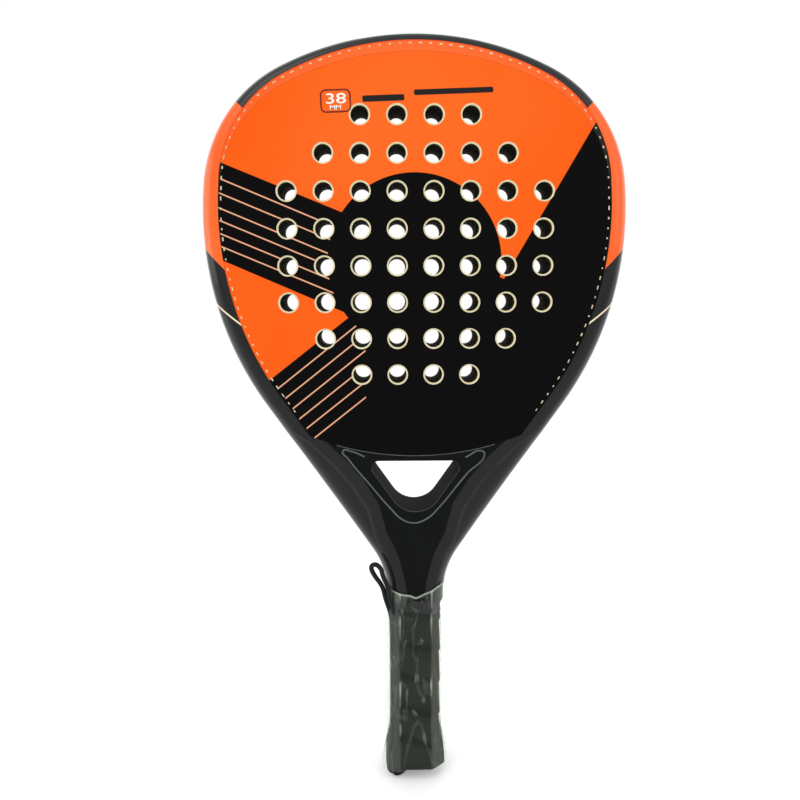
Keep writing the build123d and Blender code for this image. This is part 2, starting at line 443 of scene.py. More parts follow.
@dataclass(frozen=True)
class SpeckledFinish:
    """A coloured material with fine unevenness."""

    name: str
    dark: Colour
    light: Colour
    scale: float = 300.0
    roughness: float = 0.5
    bump: float = 0.2
    depth: float = 0.0003
    coat: float = 0.0
    specular: float = 0.2

    def material(self) -> bpy.types.Material:
        """Return the material."""
        shader = Shader(self.name)
        grain = shader.noise(self.scale, 4.0)
        rough = self.roughness + (grain - 0.5) * 0.2
        return shader.finish(
            shader.mix(grain, self.dark, self.light), Roughness=rough, Coat_Weight=self.coat,
            Coat_Roughness=0.12, Specular_IOR_Level=self.specular,
            Normal=shader.bump(grain, self.bump, self.depth),
        )


@dataclass(frozen=True)
class TapeFinish:
    """Soft grip tape, with painted shade: darker where one turn covers the next."""

    def material(self) -> bpy.types.Material:
        """Return the tape's material."""
        shader = Shader("grip_tape")
        turn = shader.attribute("turn")
        # Painted shade: dark bands at the step where each turn of tape lies over the one below.
        painted_lap_shade = turn.below(0.2, 0.05) * 0.8 + turn.above(0.97, 0.03)
        grain = shader.noise(1500.0, 3.0)
        patch = shader.noise(50.0, 3.0)
        plain = shader.mix(patch, srgb(24, 29, 24), srgb(42, 46, 38))
        return shader.finish(
            shader.mix(painted_lap_shade.clamped(), plain, srgb(9, 14, 12)), Roughness=0.5 + grain * 0.2,
            Normal=shader.bump(grain, 0.25, 0.0002), Specular_IOR_Level=0.08,
        )


@dataclass(frozen=True)
class FilmFinish:
    """Clear shrunk film with bumped creases; painted highlights make it more opaque on the creases,
    in glints, in streaks at the facet corners and along the cut top, and a painted reflection does
    so on the side facets.
    """

    clear: float = 0.012
    # Where the painted reflection on the side facets and the painted highlight streaks at the
    # corners lie.
    painted_side_x: float = 10.0
    painted_streak_x: float = 9.9

    def material(self) -> bpy.types.Material:
        """Return the film's material."""
        shader = Shader("clear_film")
        crease = shader.noise(70.0, 5.0, (1.0, 1.0, 0.35))
        # Painted highlights: each mask below raises the film's opacity where it should catch light,
        # on creases, glints, side facets, corner streaks and the cut top.
        ridge = abs(crease - 0.5).below(0.012, 0.03)
        painted_glints = shader.noise(220.0, 4.0, (1.0, 1.0, 0.5)).above(0.66, 0.06)
        wide = abs(shader.place_along("X"))
        side = wide.above(self.painted_side_x, 1.5)
        painted_streak_patches = shader.noise(55.0, 3.0, (0.2, 0.2, 1.0)).above(0.56, 0.12)
        painted_highlight_streak = abs(wide - self.painted_streak_x).below(0.5, 0.7) * painted_streak_patches
        alpha = self.clear + ridge * 0.05 + painted_glints * 0.10 + side * 0.05 + painted_highlight_streak * 0.5
        alpha = alpha + shader.attribute("edge") * 0.45
        return shader.finish(
            srgb(176, 190, 172), Roughness=0.12 + crease * 0.12, Alpha=alpha.clamped(),
            Specular_IOR_Level=1.0, Coat_Weight=1.0, Coat_Roughness=0.05,
            Normal=shader.bump(crease, 0.6, 0.003),
        )


# ============================================================================ meshes
def link(name: str, data: bpy.types.ID) -> bpy.types.Object:
    """Return a new object in the scene."""
    made = bpy.data.objects.new(name, data)
    bpy.context.scene.collection.objects.link(made)
    return made


def add_piece(
    name: str, mesh: bpy.types.Mesh, finish: Optional[bpy.types.Material],
    replaced: Iterable[str] = (), angle: float = 40.0,
) -> bpy.types.Object:
    """Place a mesh as a piece of the racket.

    Args:
        name: The piece's name.
        mesh: Its mesh in metres.
        finish: Its material, or None if the mesh has one.
        replaced: CAD nodes that it stands for.
        angle: Edges sharper than this many degrees stay sharp.

    Returns:
        The new object.
    """
    mesh.name = name
    if finish:
        mesh.materials.clear()
        mesh.materials.append(finish)
    mesh.shade_smooth()
    mesh.set_sharp_from_angle(angle=math.radians(angle))
    piece = link(name, mesh)
    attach(piece, BODY)
    if replaced:
        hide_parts(*replaced)
    LOG.info("%s: %d faces", name, len(mesh.polygons))
    return piece


def turn_outwards(mesh: bpy.types.Mesh, weld: float = 0.0) -> None:
    """Point a mesh's faces outwards.

    Args:
        mesh: The mesh.
        weld: Vertices closer than this many metres are joined first.
    """
    work = bmesh.new()
    work.from_mesh(mesh)
    if weld:
        bmesh.ops.remove_doubles(work, verts=work.verts, dist=weld)
    bmesh.ops.recalc_face_normals(work, faces=work.faces)
    work.to_mesh(mesh)
    work.free()


def store(mesh: bpy.types.Mesh, name: str, values: list[float]) -> None:
    """Keep one number for each vertex."""
    mesh.attributes.new(name, "FLOAT", "POINT").data.foreach_set("value", values)


def loft(rings: list[list[Triple]], capped: bool = True) -> bpy.types.Mesh:
    """Return a mesh through closed rings.

    Args:
        rings: Millimetre points, as many in each ring.
        capped: Whether the first and last ring are closed by a face.

    Returns:
        The mesh in metres.
    """
    count = len(rings[0])
    points = [tuple(c * MM for c in p) for ring in rings for p in ring]
    faces = []
    for r in range(len(rings) - 1):
        for i in range(count):
            j = (i + 1) % count
            low, high = r * count, (r + 1) * count
            faces.append((low + i, low + j, high + j, high + i))
    if capped:
        faces.append(tuple(range(count)))
        faces.append(tuple((len(rings) - 1) * count + i for i in range(count)))
    mesh = bpy.data.meshes.new("loft")
    mesh.from_pydata(points, [], faces)
    turn_outwards(mesh)
    return mesh


def evaluated_mesh(holder: bpy.types.Object) -> bpy.types.Mesh:
    """Return the mesh that an object and its modifiers make, and drop the object."""
    bpy.context.view_layer.update()
    graph = bpy.context.evaluated_depsgraph_get()
    mesh = bpy.data.meshes.new_from_object(holder.evaluated_get(graph))
    holder.modifiers.clear()
    bpy.data.objects.remove(holder)
    return mesh


def plate_mesh(
    loops: list[list[Point]], front: float, thickness: float, bevel: float
) -> bpy.types.Mesh:
    """Return a flat plate facing -Y whose outer skin lies at Y = front.

    Args:
        loops: The outline, then its holes, as X and Z points.
        front: Y of the outer skin.
        thickness: Plate thickness.
        bevel: Edge rounding.

    Returns:
        The plate's mesh.
    """
    curve = bpy.data.curves.new("plate", "CURVE")
    curve.dimensions, curve.fill_mode = "2D", "BOTH"
    for loop in loops:
        spline = curve.splines.new("POLY")
        spline.points.add(len(loop) - 1)
        for point, (x, z) in zip(spline.points, loop):
            point.co = (x * MM, z * MM, 0.0, 1.0)
        spline.use_cyclic_u = True
    curve.extrude = (thickness / 2 - bevel) * MM
    curve.bevel_depth, curve.bevel_resolution = bevel * MM, 2
    curve.offset = -bevel * MM
    mesh = evaluated_mesh(link("plate", curve))
    mesh.transform(Matrix.Rotation(math.pi / 2, 4, "X"))
    mesh.transform(Matrix.Translation((0.0, (front + thickness / 2) * MM, 0.0)))
    return mesh


def ridge_mesh(lines: list[list[Point]], level: float, radius: float) -> bpy.types.Mesh:
    """Return smooth raised ridges.

    Args:
        lines: The X and Z points that each ridge follows.
        level: Y of the ridges' middle.
        radius: The ridges' radius.

    Returns:
        The ridges' mesh.
    """
    curve = bpy.data.curves.new("ridge", "CURVE")
    curve.dimensions = "3D"
    curve.bevel_depth, curve.bevel_resolution, curve.use_fill_caps = radius * MM, 3, True
    curve.resolution_u = 10
    for line in lines:
        spline = curve.splines.new("BEZIER")
        spline.bezier_points.add(len(line) - 1)
        for point, (x, z) in zip(spline.bezier_points, line):
            point.co = (x * MM, level * MM, z * MM)
            point.handle_left_type = point.handle_right_type = "AUTO"
    return evaluated_mesh(link("ridge", curve))


def to_back(mesh: bpy.types.Mesh) -> bpy.types.Mesh:
    """Return a copy of a front mesh turned about the long axis."""
    turned = mesh.copy()
    turned.transform(Matrix.Rotation(math.pi, 4, "Z"))
    return turned


def between(table: tuple[Point, ...], at: float) -> float:
    """Return a value from a table.

    Args:
        table: Pairs of place and value, with rising places.
        at: The place.

    Returns:
        The value there, on a straight line between two pairs.
    """
    if at <= table[0][0]:
        return table[0][1]
    for (low, a), (high, b) in zip(table, table[1:]):
        if at <= high:
            return a + (b - a) * (at - low) / (high - low)
    return table[-1][1]


# ============================================================================ frame
@dataclass(frozen=True)
class Station:
    """One place on the outline and its outward direction."""

    x: float
    z: float
    out_x: float
    out_z: float

    def inset(self, depth: float) -> Point:
        """Return the point that lies depth inside the outline."""
        return self.x - self.out_x * depth, self.z - self.out_z * depth


@dataclass(frozen=True)
class Outline:
    """The silhouette's right half, from the tip down, as arcs of radius and turn and a leg."""

    tip_z: float = 397.0
    crown: Point = (181.0, 26.0)
    shoulder: Point = (83.756, 58.0)
    cheek: Point = (196.0, 41.0)
    leg_run: float = 111.526
    neck: Point = (53.0, -35.0)
    foot_z: float = 54.7
    step: float = 3.0

    def half(self) -> list[Station]:
        """Return the stations of the right half."""
        x, z, heading = 0.0, self.tip_z, 0.0
        stations = [Station(x, z, 0.0, 1.0)]
        parts = (self.crown, self.shoulder, self.cheek, (0.0, self.leg_run), self.neck)
        for radius, turn in parts:
            length = turn if radius == 0.0 else radius * math.radians(abs(turn))
            count = max(2, round(length / self.step))
            for _ in range(count):
                step_turn = 0.0 if radius == 0.0 else math.radians(turn) / count
                middle = heading + step_turn / 2
                x += math.cos(middle) * length / count
                z -= math.sin(middle) * length / count
                heading += step_turn
                stations.append(Station(x, z, math.sin(heading), math.cos(heading)))
        stations.append(Station(x, self.foot_z, 1.0, 0.0))
        return stations

    def whole(self) -> list[Station]:
        """Return the stations from the left foot over the tip to the right foot."""
        right = self.half()
        left = [Station(-s.x, s.z, -s.out_x, s.out_z) for s in right[:0:-1]]
        return left + right


# Width of the rounded rim, seen from the front, by Z.
RIM_BY_Z: tuple[Point, ...] = (
    (73.0, 12.3), (82.0, 13.7), (91.5, 15.0), (107.0, 22.0), (121.5, 23.0), (134.7, 21.5),
    (151.6, 17.4), (162.0, 12.45), (250.0, 12.45), (312.0, 11.6), (360.0, 8.4), (378.0, 7.4),
    (397.0, 6.4),
)


@dataclass(frozen=True)
class FrameShell:
    """The lacquered tube all round the head and down the legs."""

    outline: Outline = Outline()
    half_depth: float = 19.0
    squareness: float = 2.5
    land_edge: float = 12.5
    groove: float = 0.3
    groove_reach: float = 1.2
    throat_drop: float = 0.9
    inner_y: float = 15.0
    arc_points: int = 14

    def section(self, rim: float) -> list[Point]:
        """Return the front half of the section.

        Args:
            rim: Width of the rounded rim.

        Returns:
            Pairs of inset and depth, from the silhouette inwards.
        """
        power = 2.0 / self.squareness
        points = []
        for i in range(self.arc_points + 1):
            angle = math.pi / 2 * i / self.arc_points
            points.append(
                (rim * (1 - math.cos(angle) ** power), self.half_depth * math.sin(angle) ** power)
            )
        inner = max(self.land_edge, rim + self.groove_reach)
        groove_y = self.half_depth - self.groove
        on_face = rim + self.groove_reach <= self.land_edge
        end_y = self.half_depth if on_face else self.half_depth - self.throat_drop
        points += [
            (rim + 0.1, groove_y), (rim + 0.45, groove_y), (min(rim + 0.6, inner), end_y),
            (inner, end_y), (inner, self.inner_y),
        ]
        return points

    def build(self, finish: bpy.types.Material) -> bpy.types.Object:
        """Return the frame shell, replacing the CAD tube."""
        rings, lands = [], []
        for station in self.outline.whole():
            rim = between(RIM_BY_Z, station.z)
            half = self.section(rim)
            front = [(inset, -depth) for inset, depth in half]
            ring = []
            for inset, y in front + half[:0:-1]:
                x, z = station.inset(inset)
                ring.append((x, y, z))
                lands.append(inset - rim)
            rings.append(ring)
        mesh = loft(rings)
        store(mesh, "land", lands)
        return add_piece("frame_shell", mesh, finish, ["frame_tube"], 60.0)


# ============================================================================ head
@dataclass(frozen=True)
class HighlightDashes:
    """Small pale dashes that run round inside the rim: raised pieces whose cream colour is a
    painted highlight standing in for the glints on the face's woven edge.
    """

    inset: float = 1.7
    lowest_z: float = 168.0
    pitch: float = 5.8
    size: Triple = (2.1, 0.12, 0.7)
    least_scale: Triple = (0.35, 1.0, 0.75)
    most_scale: Triple = (1.15, 1.0, 1.2)
    face_y: float = -19.0
    seed: int = 7

    def path(self) -> bpy.types.Object:
        """Return a curve along the face's edge."""
        places = [
            station.inset(between(RIM_BY_Z, station.z) + self.inset)
            for station in Outline().whole() if station.z > self.lowest_z
        ]
        curve = bpy.data.curves.new("dash_path", "CURVE")
        curve.dimensions = "3D"
        spline = curve.splines.new("POLY")
        spline.points.add(len(places) - 1)
        for point, (x, z) in zip(spline.points, places):
            point.co = (x * MM, self.face_y * MM, z * MM, 1.0)
        return link("dash_path", curve)

    def tree(self, finish: bpy.types.Material) -> bpy.types.NodeTree:
        """Return the node group that lays dashes along a curve.

        Args:
            finish: The dashes' material.

        Returns:
            The group, with the inputs Geometry, Pitch and Seed.
        """
        group = bpy.data.node_groups.new("dashes_along_path", "GeometryNodeTree")
        for name, kind in (("Geometry", "Geometry"), ("Pitch", "Float"), ("Seed", "Int")):
            group.interface.new_socket(name, in_out="INPUT", socket_type=f"NodeSocket{kind}")
        group.interface.new_socket("Geometry", in_out="OUTPUT", socket_type="NodeSocketGeometry")

        def add(kind: str, settings: dict, inputs: dict) -> bpy.types.Node:
            """Add a node to the group.

            Args:
                kind: The node's type.
                settings: Properties by name.
                inputs: Values or sockets by input name or number.

            Returns:
                The node.
            """
            node = group.nodes.new(kind)
            for key, setting in settings.items():
                setattr(node, key, setting)
            for key, given in inputs.items():
                if isinstance(given, bpy.types.NodeSocket):
                    group.links.new(given, node.inputs[key])
                else:
                    node.inputs[key].default_value = given
            return node

        source = add("NodeGroupInput", {}, {}).outputs
        points = add(
            "GeometryNodeCurveToPoints", {"mode": "LENGTH"},
            {"Curve": source["Geometry"], "Length": source["Pitch"]},
        ).outputs
        highlight_dash = add("GeometryNodeMeshCube", {}, {"Size": tuple(c * MM for c in self.size)})
        chance = add(
            "FunctionNodeRandomValue", {"data_type": "FLOAT_VECTOR"},
            {0: self.least_scale, 1: self.most_scale, "Seed": source["Seed"]},
        )
        turn = add(
            "FunctionNodeAlignRotationToVector", {"axis": "X", "pivot_axis": "Y"},
            {"Vector": points["Tangent"]},
        )
        spread = add("GeometryNodeInstanceOnPoints", {}, {
            "Points": points["Points"], "Instance": highlight_dash.outputs["Mesh"],
            "Rotation": turn.outputs[0], "Scale": chance.outputs[0],
        })
        real = add("GeometryNodeRealizeInstances", {}, {"Geometry": spread.outputs["Instances"]})
        dressed = add(
            "GeometryNodeSetMaterial", {},
            {"Geometry": real.outputs["Geometry"], "Material": finish},
        )
        add("NodeGroupOutput", {}, {"Geometry": dressed.outputs["Geometry"]})
        return group

    def build(self, finish: bpy.types.Material) -> list[bpy.types.Object]:
        """Return the dashes of both faces."""
        holder = self.path()
        group = self.tree(finish)
        modifier = holder.modifiers.new("dashes", "NODES")
        modifier.node_group = group
        wanted = {"Pitch": self.pitch * MM, "Seed": self.seed}
        for item in group.interface.items_tree:
            if item.in_out == "INPUT" and item.name in wanted:
                modifier[item.identifier] = wanted[item.name]
        mesh = evaluated_mesh(holder)
        return [
            add_piece("highlight_dashes_back", to_back(mesh), None),
            add_piece("highlight_dashes_front", mesh, None),
        ]


@dataclass(frozen=True)
class Markings:
    """Thickness mark and bars near the tip of the front face."""

    face_y: float = -19.0
    film: float = 0.06
    tilt: float = 2.0
    box: Line = ((-54.7, 350.6), (-37.0, 363.6))
    corner: float = 3.2
    outline_width: float = 0.9
    plate: float = 0.1
    plate_bevel: float = 0.02
    capital_share: float = 0.72
    bold: float = 0.06
    bar_corner: float = 1.0
    bars: tuple[Line, ...] = (((-30.5, 356.9), (-6.4, 360.4)), ((-0.9, 361.0), (44.7, 364.1)))

    def rounded(self, low: Point, high: Point, corner: float) -> list[Point]:
        """Return a rounded rectangle, tilted about its middle.

        Args:
            low: Lower left corner before the tilt.
            high: Upper right corner before the tilt.
            corner: Corner radius.

        Returns:
            The rectangle's outline.
        """
        points = []
        right, left = high[0] - corner, low[0] + corner
        top, bottom = high[1] - corner, low[1] + corner
        centres = ((right, top), (left, top), (left, bottom), (right, bottom))
        for start, (x, z) in zip((0, 90, 180, 270), centres):
            for i in range(7):
                angle = math.radians(start + 15 * i)
                points.append((x + corner * math.cos(angle), z + corner * math.sin(angle)))
        centre = Vector(((low[0] + high[0]) / 2, (low[1] + high[1]) / 2))
        turn = Matrix.Rotation(math.radians(self.tilt), 2)
        return [tuple(centre + turn @ (Vector(point) - centre)) for point in points]

    def text(self, words: str, at: Point, height: float, widen: float) -> bpy.types.Mesh:
        """Return flat lettering that stands on the face.

        Args:
            words: The characters.
            at: X and Z of the middle of their foot.
            height: Height of a capital.
            widen: Factor on the width.

        Returns:
            The lettering's mesh.
        """
        curve = bpy.data.curves.new("text", "FONT")
        curve.body, curve.size = words, height / self.capital_share * MM
        curve.offset, curve.extrude = self.bold * MM, self.film / 2 * MM
        curve.align_x, curve.align_y = "CENTER", "BOTTOM_BASELINE"
        mesh = evaluated_mesh(link("text", curve))
        mesh.transform(Matrix.Diagonal((widen, 1.0, 1.0, 1.0)))
        mesh.transform(Matrix.Rotation(math.radians(self.tilt), 4, "Z"))
        mesh.transform(Matrix.Rotation(math.pi / 2, 4, "X"))
        place = (at[0], self.face_y - self.film / 2, at[1])
        mesh.transform(Matrix.Translation(Vector(place) * MM))
        return mesh

    def flat(self, loops: list[list[Point]]) -> bpy.types.Mesh:
        """Return a thin printed shape."""
        return plate_mesh(loops, self.face_y - self.film, self.plate, self.plate_bevel)

    def build(
        self, white: bpy.types.Material, red: bpy.types.Material, black: bpy.types.Material
    ) -> None:
        """Add the marks.

        Args:
            white: Material of the characters.
            red: Material of the outline.
            black: Material of the bars.
        """
        low, high = self.box
        width = self.outline_width
        inner_low = (low[0] + width, low[1] + width)
        inner_high = (high[0] - width, high[1] - width)
        loops = [
            self.rounded(low, high, self.corner),
            self.rounded(inner_low, inner_high, self.corner - width),
        ]
        add_piece("mark_outline", self.flat(loops), red)
        add_piece("mark_number", self.text("38", (-45.7, 355.7), 5.8, 1.55), white)
        add_piece("mark_unit", self.text("MM", (-45.9, 352.4), 2.4, 1.3), white)
        for number, (bar_low, bar_high) in enumerate(self.bars):
            mesh = self.flat([self.rounded(bar_low, bar_high, self.bar_corner)])
            add_piece(f"mark_bar_{number + 1}", mesh, black)


# ============================================================================ throat
@dataclass(frozen=True)
class Throat:
    """Dark plates between the legs, with the heart opening and raised ridges, whose grey is a
    painted highlight along the moulded edges.
    """

    front_y: float = -18.5
    thickness: float = 1.4
    step_z: float = 149.75
    step_radius: float = 174.2
    foot_z: float = 58.0
    head_z: float = 200.0
    leg_gap: float = 0.35
    step_gap: float = 0.2
    bevel: float = 0.25
    ridge_radius: float = 0.55
    ridge_sink: float = 0.05
    heart: tuple[Point, ...] = ((-31.1, 146.25), (31.1, 146.25), (0.0, 101.85))
    heart_radii: tuple[float, ...] = (4.5, 4.5, 16.5)
    v_ridge: tuple[Point, ...] = (
        (-31.1, 149.0), (-38.5, 152.2), (-44.3, 152.6), (-41.2, 147.8), (-28.0, 131.5),
        (-15.8, 116.9), (-7.9, 109.3), (-0.7, 107.3), (7.5, 110.4), (14.0, 116.7), (31.2, 138.0),
        (42.0, 150.0), (40.5, 152.2), (30.4, 148.4),
    )

    def step(self, x: float) -> float:
        """Return the step line's Z at x."""
        return self.step_z + self.step_radius - math.sqrt(self.step_radius**2 - x * x)

    def outline(self) -> list[Point]:
        """Return the plate's outline between the legs, closed by the step line."""
        right = []
        for station in Outline().half():
            if station.z >= self.head_z:
                continue
            x, z = station.inset(between(RIM_BY_Z, station.z) + self.leg_gap)
            if x > 0 and self.foot_z < z < self.step(x) - self.step_gap:
                right.append((x, z))
        top = right[0][0] + 1.5
        across = [top - 2 * top * i / 40 for i in range(41)]
        arc = [(x, self.step(x) - self.step_gap) for x in across]
        return arc + [(-x, z) for x, z in right] + right[::-1]

    def opening(self) -> list[Point]:
        """Return the heart opening with rounded corners."""
        points = []
        count = len(self.heart)
        for i in range(count):
            corner = Vector(self.heart[i])
            before = (Vector(self.heart[i - 1]) - corner).normalized()
            after = (Vector(self.heart[(i + 1) % count]) - corner).normalized()
            radius = self.heart_radii[i]
            half = before.angle(after) / 2
            centre = corner + (before + after).normalized() * (radius / math.sin(half))
            start = corner + before * (radius / math.tan(half)) - centre
            end = corner + after * (radius / math.tan(half)) - centre
            sweep = start.angle_signed(end)
            for k in range(13):
                turned = Matrix.Rotation(-sweep * k / 12, 2) @ start
                points.append(tuple(centre + turned))
        return points

    def build(self, plate: bpy.types.Material, ridge: bpy.types.Material) -> None:
        """Add the plates and ridges of both sides.

        Args:
            plate: The plates' material.
            ridge: The ridges' material.
        """
        loops = [self.outline(), self.opening()]
        front = plate_mesh(loops, self.front_y, self.thickness, self.bevel)
        back = to_back(front)
        add_piece("throat_skin_front", front, plate, ["throat_plate_front"])
        add_piece("throat_skin_back", back, plate, ["throat_plate_back"])
        step_line = [(-48 + 4 * i, self.step(-48 + 4 * i)) for i in range(25)]
        lines = [list(self.v_ridge), step_line]
        raised = ridge_mesh(lines, self.front_y + self.ridge_sink, self.ridge_radius)
        turned = to_back(raised)
        add_piece("throat_ridges_front", raised, ridge)
        add_piece("throat_ridges_back", turned, ridge)


# ============================================================================ handle
@dataclass(frozen=True)
class GripShape:
    """The eight-sided grip with a flare at its butt."""

    half_width: float = 15.4
    half_depth: float = 14.6
    corner: float = 6.2
    skirt_z: float = -50.0
    flare_z: float = -34.0
    flare: float = 3.4

    def growth(self, z: float) -> float:
        """Return how far the grip stands out at a height."""
        return between(((self.skirt_z, self.flare), (self.flare_z, 0.0)), z)

    def reach(self, angle: float, growth: float, softness: float) -> float:
        """Return the distance from the axis to the grip's skin.

        Args:
            angle: Direction in radians from +X towards +Y.
            growth: How far the skin is moved outwards.
            softness: How far corners are rounded off, in millimetres.

        Returns:
            The distance in millimetres.
        """
        width, depth = self.half_width + growth, self.half_depth + growth
        corner = self.corner + growth * (2.0 - math.sqrt(2.0))
        across, along = abs(math.cos(angle)), abs(math.sin(angle))
        slant = (width + depth - corner) / max(1e-6, across + along)
        sides = (width / max(1e-6, across), depth / max(1e-6, along), slant)
        nearest = min(sides)
        blend = sum(math.exp(-(side - nearest) / softness) for side in sides)
        return nearest - softness * math.log(blend)

    def ring(
        self, z: float, extra: Callable[[float], float], softness: float, count: int
    ) -> list[Triple]:
        """Return one ring of points round the grip.

        Args:
            z: The ring's height.
            extra: How far it stands out at an angle.
            softness: How far corners are rounded off.
            count: How many points it has.

        Returns:
            The points.
        """
        ring = []
        for i in range(count):
            angle = 2 * math.pi * i / count
            reach = self.reach(angle, self.growth(z), softness) + extra(angle)
            ring.append((reach * math.cos(angle), reach * math.sin(angle), z))
        return ring


@dataclass(frozen=True)
class TapedGrip:
    """Overlapping tape wound up the handle, and the finishing band at its top."""

    shape: GripShape = GripShape()
    low_z: float = -56.8
    top_z: float = 54.4
    lead: float = 21.5
    overlap: float = 0.75
    step: float = 0.7
    softness: float = 0.35
    band_z: float = 46.2
    band_height: float = 9.2
    band_rise: float = 0.62
    band_rows: int = 14
    count: int = 128

    def phase(self, z: float, angle: float) -> float:
        """Return how far up its own turn the tape is, from 0 to 1."""
        phase = (z - 1.5) / self.lead + 0.2 * math.cos(angle)
        phase += 0.03 * math.sin(3 * angle + 0.05 * z)
        return phase - math.floor(phase)

    def height(self, z: float, angle: float) -> float:
        """Return the wound tape's extra height: each turn's lower edge stands on the one below."""
        phase = self.phase(z, angle)
        edge = min(1.0, phase / 0.035) if phase < 0.5 else 1.0
        return self.overlap * (1.0 - phase) * edge - 0.15

    def shrunk(self, ring: list[Triple], share: float) -> list[Triple]:
        """Return a ring drawn in towards the axis."""
        return [(x * share, y * share, z) for x, y, z in ring]

    def ring(self, z: float, extra: Callable[[float], float]) -> list[Triple]:
        """Return one ring with the tape's roundness."""
        return self.shape.ring(z, extra, self.softness, self.count)

    def build_tape(self, finish: bpy.types.Material) -> bpy.types.Object:
        """Add the wound tape, with each vertex's place in its turn stored as turn.

        Args:
            finish: The tape's material.

        Returns:
            The piece.
        """
        rings = []
        count = int((self.top_z - self.low_z) / self.step)
        for i in range(count + 1):
            z = self.low_z + (self.top_z - self.low_z) * i / count
            rings.append(self.ring(z, lambda angle: self.height(z, angle)))
        rings.append(self.shrunk(rings[-1], 0.8))
        mesh = loft(rings)
        angles = [2 * math.pi * i / self.count for i in range(self.count)]
        turns = [self.phase(ring[0][2], angle) for ring in rings for angle in angles]
        store(mesh, "turn", turns)
        return add_piece("wound_grip_tape", mesh, finish, ["base_grip"], 50.0)

    def build_band(self, finish: bpy.types.Material) -> bpy.types.Object:
        """Add the finishing band.

        Args:
            finish: The band's material.

        Returns:
            The piece.
        """
        rings = []
        for i in range(self.band_rows + 1):
            z = self.band_z + self.band_height * i / self.band_rows
            rise = self.band_rise if 0 < i < self.band_rows else 0.1
            rings.append(self.ring(z, lambda angle: rise + 0.12 * math.sin(3 * angle + z)))
        inside = [self.shrunk(ring, 0.86) for ring in (rings[-1], rings[0])]
        mesh = loft([*rings, *inside, rings[0]], False)
        turn_outwards(mesh, 1e-6)
        return add_piece("neck_band", mesh, finish, ["finishing_tape"])


@dataclass(frozen=True)
class FilmWrap:
    """Clear film shrunk round the handle and the cord beside it, creased and open at both ends."""

    shape: GripShape = GripShape()
    low_z: float = -57.0
    top_z: float = 60.0
    neck_half: Point = (18.9, 19.9)
    standoff: float = 0.9
    softness: float = 0.4
    cord_direction: float = -2.42
    cord_bulge: float = 4.0
    cord_spread: float = 0.34
    crease: float = 0.22 * 2.4
    right_rise: float = 10.0
    left_rise: float = 5.5
    back_rise: float = 4.0
    ripple: float = 0.8
    highlight_edge_width: float = 0.9
    neck_square: float = 3.2
    most_y: float = 20.4
    thickness: float = 0.12
    count: int = 180
    rows: int = 150

    def lift(self, z: float, angle: float) -> float:
        """Return the film's distance from the grip.

        Args:
            z: The height.
            angle: The direction in radians.

        Returns:
            The distance, larger over the cord and in creases.
        """
        apart = angle - self.cord_direction
        turn = math.atan2(math.sin(apart), math.cos(apart))
        bulge = self.cord_bulge * math.exp(-((turn / self.cord_spread) ** 2))
        place = Vector((math.cos(angle) * 1.6, math.sin(angle) * 1.6, z * 0.045))
        wrinkle = abs(noise.fractal(place * 2.2, 0.6, 2.0, 4)) * self.crease
        return self.standoff + bulge + wrinkle

    def top(self, angle: float) -> float:
        """Return the film's upper edge, lower at the front's middle."""
        across = math.cos(angle)
        rise = self.right_rise * across if across > 0 else -self.left_rise * across
        ripple = self.ripple * noise.noise(Vector((across * 3, math.sin(angle) * 3, 4.0)))
        return self.top_z + ripple + (rise if math.sin(angle) < 0 else max(rise, self.back_rise))

    def neck(self, z: float, angle: float) -> float:
        """Return the reach that clears the frame's legs above the grip.

        Args:
            z: The height.
            angle: The direction in radians.

        Returns:
            The distance from the axis.
        """
        square = self.neck_square
        across = abs(math.cos(angle)) / self.neck_half[0]
        along = abs(math.sin(angle)) / self.neck_half[1]
        share = between(((44.0, 0.7), (56.0, 1.0), (70.0, 1.03)), z)
        return share / (across**square + along**square) ** (1 / square)

    def edge(self, place: Vector) -> float:
        """Return 1 within a hair of the film's cut top, else 0; the film's material paints a
        highlight there.
        """
        below = self.top(math.atan2(place.y, place.x)) - place.z / MM
        return 1.0 if below < self.highlight_edge_width else 0.0

    def ring(self, row: int, outwards: float) -> list[Triple]:
        """Return one ring of the film.

        Args:
            row: Its number from the butt.
            outwards: How far it lies outside the film's inner side.

        Returns:
            Its points.
        """
        ring = []
        for i in range(self.count):
            angle = 2 * math.pi * i / self.count
            z = self.low_z + (self.top(angle) - self.low_z) * row / self.rows
            reach = self.shape.reach(angle, self.shape.growth(z), self.softness)
            reach = max(reach + self.lift(z, angle), self.neck(z, angle)) + outwards
            y = max(-self.most_y, min(self.most_y, reach * math.sin(angle)))
            ring.append((reach * math.cos(angle), y, z))
        return ring

    def build(self, finish: bpy.types.Material) -> bpy.types.Object:
        """Return the film."""
        rings = [self.ring(row, 0.0) for row in range(self.rows, -1, -1)]
        rings += [self.ring(row, self.thickness) for row in range(self.rows + 1)]
        mesh = loft([*rings, rings[0]], False)
        turn_outwards(mesh, 1e-7)
        # edge marks the cut top, where the film's material paints a highlight.
        store(mesh, "edge", [self.edge(vertex.co) for vertex in mesh.vertices])
        return add_piece("handle_film", mesh, finish, ["film_sleeve"], 60.0)


